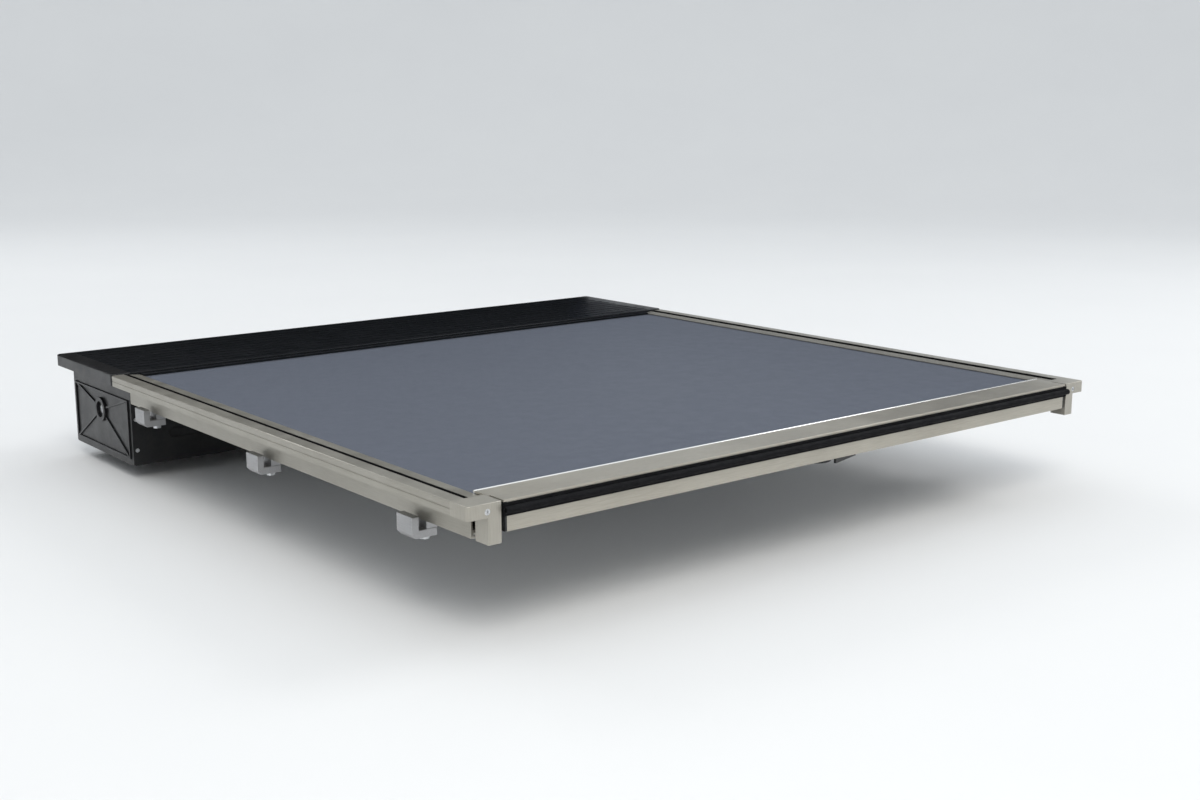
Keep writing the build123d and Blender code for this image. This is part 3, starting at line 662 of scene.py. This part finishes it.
def make_inner_slats(slat):
    """The slats between the mouth and the drum, and the first turn of slats on the drum."""
    feed = [placed((skin_high.y + ROLLER.x) / 2, slats_low.z)]
    start = ROLLER + FEED_UP * ROLLER_WRAP
    for i in range(FEED_SLATS):
        foot = start + FEED_DIR * (FEED_LEAD + i * SLAT_PITCH)
        feed.append(placed(foot.x, foot.y, FEED_TILT))
    wound = []
    for i in range(WOUND_SLATS):
        tilt = WOUND_FROM - WOUND_STEP * (i + 0.5)
        foot = DRUM + Vector((-math.sin(tilt), math.cos(tilt))) * DRUM_WRAP
        wound.append(placed(foot.x, foot.y, tilt))
    for name, node, body, places in (
        ("slats_to_drum", "feed_slats", "frame", feed),
        ("slats_on_drum", "wound_slats", "drum", wound),
    ):
        piece = add_object(name, repeated(name, slat, places), "mill_alloy")
        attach(piece, body)
        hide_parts(node)


def make_inner_sheet(name, node, body, lower, upper, rests_on):
    """A stretch of vinyl inside the canister, between two lines of (y, z) points."""
    low, high = node_box(node)
    mesh = across_mesh(name, [[*upper, *reversed(lower)]], low.x, high.x)
    sheet = add_object(name, mesh, "curtain_vinyl")
    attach(sheet, body)
    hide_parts(node)


def feed_line(height):
    """The skin's line over the guide roller and down towards the drum, height above the slats' feet."""
    radius = ROLLER_WRAP + height
    bend = arc(ROLLER, radius, 90, 90 + math.degrees(FEED_TILT), 12)
    end = ROLLER + FEED_UP * radius + FEED_DIR * FEED_LENGTH
    return [(skin_high.y, slats_low.z + height), *bend, (end.x, end.y)]


def wound_line(height):
    """The skin's line round the drum: flat over each slat and curved from one slat to the next."""
    points = []
    deck = DRUM_WRAP + SLAT_HEIGHT
    corner = math.hypot(DECK_WIDTH / 2, deck) + WOUND_CLEARANCE
    steps = 12
    for i in range(WOUND_SLATS):
        centre = WOUND_FROM + math.radians(90) - WOUND_STEP * (i + 0.5)
        for k in range(steps + (i == WOUND_SLATS - 1)):
            turn = WOUND_STEP * (0.5 - k / steps)
            flat = (deck + WOUND_CLEARANCE) / math.cos(turn)
            radius = min(flat, corner) + height
            angle = centre + turn
            points.append((DRUM.x + radius * math.cos(angle), DRUM.y + radius * math.sin(angle)))
    return points


make_inner_slats(slat_mesh)
feed_lines = [feed_line(SLAT_HEIGHT + SKIN_CLEARANCE), feed_line(SLAT_HEIGHT + SKIN_THICKNESS)]
make_inner_sheet("skin_to_drum", "feed_skin", "frame", *feed_lines, ["slats_to_drum"])
wound_lines = [wound_line(0.0), wound_line(SKIN_THICKNESS - WOUND_CLEARANCE)]
make_inner_sheet("skin_on_drum", "wound_skin", "drum", *wound_lines, ["slats_on_drum"])

# ---------------------------------------------------------------- drain spigots


def make_spigot(node):
    """A barbed hose spigot with a round collar, moulded round its through bore."""
    low, high = node_box(node)
    centre = ((low.x + high.x) / 2, (low.y + high.y) / 2)
    tray_floor = node_box("canister_floor")[0].z
    bore, end, barb, root, thread, collar = (r * MM for r in (4.5, 5.2, 6.35, 5.5, 6.5, 12.0))
    barb_pitch, barb_back, barb_land, barb_count = 5.2 * MM, 0.9 * MM, 0.5 * MM, 4
    collar_height, collar_bevel, thread_bevel = 2.5 * MM, 0.6 * MM, 0.8 * MM
    outline = [(bore, low.z), (end, low.z)]
    for i in range(barb_count):
        tip = low.z + (i + 1) * barb_pitch - barb_back
        outline += [(barb, tip), (barb, tip + barb_land), (root, tip + barb_back)]
    collar_low = tray_floor - collar_height
    outline += [
        (root, collar_low),
        (collar - collar_bevel, collar_low),
        (collar, collar_low + collar_bevel),
        (collar, tray_floor),
        (thread, tray_floor),
        (thread, high.z - thread_bevel),
        (thread - thread_bevel, high.z),
        (bore, high.z),
    ]
    name = node.replace("drain_nozzle", "spigot")
    piece = add_object(name, turned_mesh(node, outline, centre), "black_plastic")
    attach(piece, "frame")
    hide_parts(node)


make_spigot("drain_nozzle_left")
make_spigot("drain_nozzle_right")

# ---------------------------------------------------------------- canister panels


BEAD_LEVELS = (-0.055, -0.105)
BEAD_HALF = 0.58
BEAD_RISE = 0.011
BEAD_DEPTH = 0.0022


def panel_mesh(name, x_half, z_low, z_high, y_face, y_back):
    """A sheet with pressed stiffening beads: long shallow channels with rounded ends.
    y_face is the outer face and y_back the inner one."""
    inward = 1 if y_back > y_face else -1

    def depth(x, z):
        """How far the sheet is pressed inwards at a point."""
        deepest = 0.0
        for level in BEAD_LEVELS:
            beyond = max(abs(x) - BEAD_HALF + BEAD_RISE, 0.0)
            distance = math.hypot(beyond, z - level)
            share = min(max((BEAD_RISE - distance) / (0.45 * BEAD_RISE), 0.0), 1.0)
            deepest = max(deepest, BEAD_DEPTH * share * share * (3 - 2 * share))
        return deepest

    straight = BEAD_HALF - BEAD_RISE
    ends = [straight + BEAD_RISE * i / 8 for i in range(10)]
    between = [(-0.9 + 0.2 * i) * straight for i in range(10)]
    xs = sorted({-x_half, x_half, *ends, *[-x for x in ends], *between})
    zs = {z_low, z_high}
    for level in BEAD_LEVELS:
        zs.update(level + BEAD_RISE * (-1.1 + 0.1 * i) for i in range(23))
    zs = sorted(z for z in zs if z_low <= z <= z_high)
    form = bmesh.new()
    faces = []
    for side_y in (y_face, y_back):
        faces.append([[form.verts.new((x, side_y + inward * depth(x, z), z)) for x in xs] for z in zs])
    for sheet in faces:
        for low, high in zip(sheet, sheet[1:]):
            for i in range(len(xs) - 1):
                form.faces.new((low[i], low[i + 1], high[i + 1], high[i]))
    outer, inner = faces
    for a, b in ((outer[0], inner[0]), (outer[-1], inner[-1])):
        for i in range(len(xs) - 1):
            form.faces.new((a[i], a[i + 1], b[i + 1], b[i]))
    for column in (0, -1):
        for i in range(len(zs) - 1):
            corners = (outer[i], outer[i + 1], inner[i + 1], inner[i])
            form.faces.new([row[column] for row in corners])
    return finished(form, name)


def make_rear_panel():
    """The canister's rear wall, with two long beads pressed into it."""
    low, high = node_box("canister_rear_panel")
    mesh = panel_mesh("rear_panel", high.x, low.z, high.z, low.y, high.y)
    panel = add_object("rear_panel", mesh, "black_sheet")
    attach(panel, "frame")
    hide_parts("canister_rear_panel")


def make_front_panel():
    """The canister's front wall with its two beads, and the flange under the lid's front edge."""
    low, high = node_box("canister_front_panel")
    sheet = 2.0 * MM
    mesh = panel_mesh("front_panel", high.x, low.z, high.z, high.y, high.y - sheet)
    panel = add_object("front_panel", mesh, "black_sheet")
    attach(panel, "frame")
    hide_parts("canister_front_panel")
    y_edge, z_edge = high.y - sheet, high.z - sheet
    lip = [(low.y, z_edge), (low.y, high.z), (y_edge, high.z), (y_edge, z_edge)]
    flange_mesh = across_mesh("flange", [lip], low.x, high.x)
    flange = add_object("front_panel_flange", flange_mesh, "black_sheet")
    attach(flange, "frame")


def make_end_ribs(side):
    """Raised boss and radiating ribs on the outside of a canister end casting. side is -1 or 1."""
    low, high = node_box("canister_end_right")
    plate = node_box("drum_shaft")[1].x
    shaft_low, shaft_high = node_box("drum_shaft")
    hub = ((shaft_low.y + shaft_high.y) / 2, (shaft_low.z + shaft_high.z) / 2)
    rise, boss_rise, spoke_rise = 3.0 * MM, 5.0 * MM, 2.7 * MM
    boss_out, boss_in, overlap = 24.0 * MM, 16.0 * MM, 2.0 * MM
    margin = 12.0 * MM
    web = 3.5 * MM
    y_low, y_high = low.y + margin, high.y - margin
    z_low, z_high = low.z + margin, -34.0 * MM

    def rectangle(inset):
        """The rib frame's outline, moved in by inset."""
        y0, y1, z0, z1 = y_low + inset, y_high - inset, z_low + inset, z_high - inset
        return [(y0, z0), (y1, z0), (y1, z1), (y0, z1)]

    ring = [arc(hub, radius, 0, 360, 40)[:-1] for radius in (boss_out, boss_in)]
    parts = [across_mesh("boss", ring, 0.0, boss_rise)]
    parts.append(across_mesh("frame", [rectangle(0.0), rectangle(web)], 0.0, rise))
    for y, z in rectangle(0.0):
        run = Vector((y - hub[0], z - hub[1]))
        along, across = run.normalized(), Vector((-run.y, run.x)).normalized() * web / 2
        start, stop = along * (boss_out - overlap), run - along * overlap
        spoke = [start - across, stop - across, stop + across, start + across]
        outline = [(hub[0] + p.x, hub[1] + p.y) for p in spoke]
        parts.append(across_mesh("spoke", [outline], 0.0, spoke_rise))
    form = bmesh.new()
    for part in parts:
        form.from_mesh(part)
    for vertex in form.verts:
        vertex.co.x = side * (plate + vertex.co.x)
    name = "end_ribs_right" if side > 0 else "end_ribs_left"
    ribs = add_object(name, finished(form, "end_ribs"), "black_casting")
    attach(ribs, "frame")
    edge = ribs.modifiers.new("edge", "BEVEL")
    edge.width = 0.6 * MM
    edge.segments = 2
    edge.limit_method = "ANGLE"


make_rear_panel()
make_front_panel()
make_end_ribs(-1)
make_end_ribs(1)

# ---------------------------------------------------------------- soft edges

EDGE_RADIUS = {
    "end_bar": 0.5,
    "rail_left": 0.5,
    "rail_right": 0.5,
    "rail_corner_left": 0.8,
    "rail_corner_right": 0.8,
    "canister_end_left": 0.8,
    "canister_end_right": 0.8,
    "canister_lid": 0.5,
    "canister_floor": 0.4,
    "lid_edge_strip": 0.3,
    "clamp_jaws": 1.2,
    "clamp_bodies": 0.6,
    "clamp_bolts": 0.4,
    "release_lever": 0.9,
    "bar_end_cap_left": 0.4,
    "bar_end_cap_right": 0.4,
    "striker_plate_left": 0.3,
    "striker_plate_right": 0.3,
    "corner_screws": 0.3,
    "striker_screws": 0.3,
    "tray_screws": 0.3,
    "lever_pivot": 0.4,
    "latch_bolt_left": 0.4,
    "latch_bolt_right": 0.4,
    "guide_shoe_left": 0.4,
    "guide_shoe_right": 0.4,
}


def soften(node, radius):
    """Rounds a CAD node's sharp edges for the render. Its mesh stays as it is."""
    piece = bpy.data.objects[node]
    weld = piece.modifiers.new("weld", "WELD")
    weld.merge_threshold = 0.01 * MM
    bevel = piece.modifiers.new("edge", "BEVEL")
    bevel.width = radius * MM
    bevel.segments = 2
    bevel.limit_method = "ANGLE"
    bevel.angle_limit = math.radians(40)
    bevel.harden_normals = True
    bevel.use_clamp_overlap = True


for node_name, edge_radius in EDGE_RADIUS.items():
    soften(node_name, edge_radius)


# ---------------------------------------------------------------- stage


def add_floor():
    """A pale round floor just under the object, whose rim curves up into a wall all the way round."""
    level = cad_low.z - 4 * MM
    flat, bend, wall = 6.0, 5.0, 8.0
    profile = [(0.0, level), (flat, level)]
    for degrees in range(6, 91, 6):
        a = math.radians(degrees)
        profile.append((flat + bend * math.sin(a), level + bend * (1 - math.cos(a))))
    profile.append((flat + bend, level + wall))
    form = bmesh.new()
    sides = 96
    hub = form.verts.new((0, 0, level))
    rings = []
    for radius, z in profile[1:]:
        angles = [2 * math.pi * i / sides for i in range(sides)]
        rings.append([form.verts.new((radius * math.cos(a), radius * math.sin(a), z)) for a in angles])
    for i in range(sides):
        j = (i + 1) % sides
        form.faces.new((hub, rings[0][i], rings[0][j]))
        for inner, outer in zip(rings, rings[1:]):
            form.faces.new((inner[i], outer[i], outer[j], inner[j]))
    mesh = bpy.data.meshes.new("floor")
    form.to_mesh(mesh)
    form.free()
    for face in mesh.polygons:
        face.use_smooth = True
    floor = bpy.data.objects.new("floor", mesh)
    bpy.context.collection.objects.link(floor)
    f = Finish("floor_paint", 0.8, 0.0, 0.1)
    f.colour(f.mix(f.noise(1.5, 3.0), (0.78, 0.78, 0.78), (0.81, 0.81, 0.805)))
    floor.data.materials.append(f.material)


def add_area(name, place, target, size, power, tint=(1, 1, 1)):
    """A soft rectangular lamp at place that faces target."""
    lamp = bpy.data.lights.new(name, "AREA")
    lamp.shape = "RECTANGLE"
    lamp.size, lamp.size_y = size
    lamp.energy = power
    lamp.color = tint
    holder = bpy.data.objects.new(name, lamp)
    bpy.context.collection.objects.link(holder)
    holder.location = place
    holder.rotation_euler = (Vector(target) - Vector(place)).to_track_quat("-Z", "Y").to_euler()


def add_flag(name, near, far, low, high, material):
    """A dark upright panel between two (x, y) points. Only reflections see it."""
    corners = ((*near, low), (*far, low), (*far, high), (*near, high))
    mesh = bpy.data.meshes.new(name)
    mesh.from_pydata(corners, [], [(0, 1, 2, 3)])
    flag = bpy.data.objects.new(name, mesh)
    bpy.context.collection.objects.link(flag)
    flag.data.materials.append(material)
    flag.visible_camera = False
    flag.visible_diffuse = False
    flag.visible_shadow = False
    flag.visible_transmission = False


def add_flags():
    """Panels where the cab's rear wall and the roll bar's right tube would stand, so the lid, the
    curtain and the right rail's lip mirror something dark, as they do on a vehicle."""
    cab, bar = Finish("flag_cloth", 0.9, 0.0, 0.0), Finish("tube_cloth", 0.9, 0.0, 0.0)
    cab.colour(cab.mix(cab.noise(20.0, 2.0), (0.004, 0.004, 0.004), (0.008, 0.008, 0.008)))
    bar.colour(bar.mix(bar.noise(20.0, 2.0), (0.020, 0.028, 0.050), (0.030, 0.040, 0.065)))
    wall_half, wall_y, wall_top = 0.85, cad_high.y + 0.20, 0.60
    tube_x, tube_rear, tube_front, tube_low, tube_top = cad_high.x + 0.115, -0.62, 1.2, 0.08, 0.34
    add_flag("flag", (-wall_half, wall_y), (wall_half, wall_y), 0.0, wall_top, cab.material)
    add_flag("tube_flag", (tube_x, tube_rear), (tube_x, tube_front), tube_low, tube_top, bar.material)


def add_lights():
    """A pale dome, one broad lamp behind and to the left of the eye, and two that only fill."""
    scene = bpy.context.scene
    scene.view_settings.view_transform = "Standard"
    world = bpy.data.worlds.new("studio")
    scene.world = world
    world.use_nodes = True
    world.node_tree.nodes["Background"].inputs["Color"].default_value = (0.90, 0.95, 1.0, 1.0)
    world.node_tree.nodes["Background"].inputs["Strength"].default_value = 0.85
    add_area("key", (-2.6, -4.2, 4.6), (0, -0.3, 0), (3.0, 3.0), 190.0, (1.0, 0.98, 0.94))
    add_area("side", (4.5, -1.5, 3.5), (0, 0, 0), (2.5, 2.0), 70.0)
    add_area("front", (-1.0, 5.0, 3.5), (0, 0.2, 0), (3.0, 1.5), 50.0)


def add_camera():
    """The eye stands behind the cover and to its left, 0.54 m above it."""
    eye = Vector((-1.757, -2.3205, 0.555))
    target = Vector((0.035, -0.12, -0.03))
    data = bpy.data.cameras.new("camera")
    data.sensor_width = 36.0
    data.lens = 46.0
    data.clip_start = 0.05
    data.clip_end = 100.0
    camera = bpy.data.objects.new("camera", data)
    bpy.context.collection.objects.link(camera)
    camera.location = eye
    camera.rotation_euler = (target - eye).to_track_quat("-Z", "Y").to_euler()
    bpy.context.scene.camera = camera


add_floor()
add_flags()
add_lights()
add_camera()
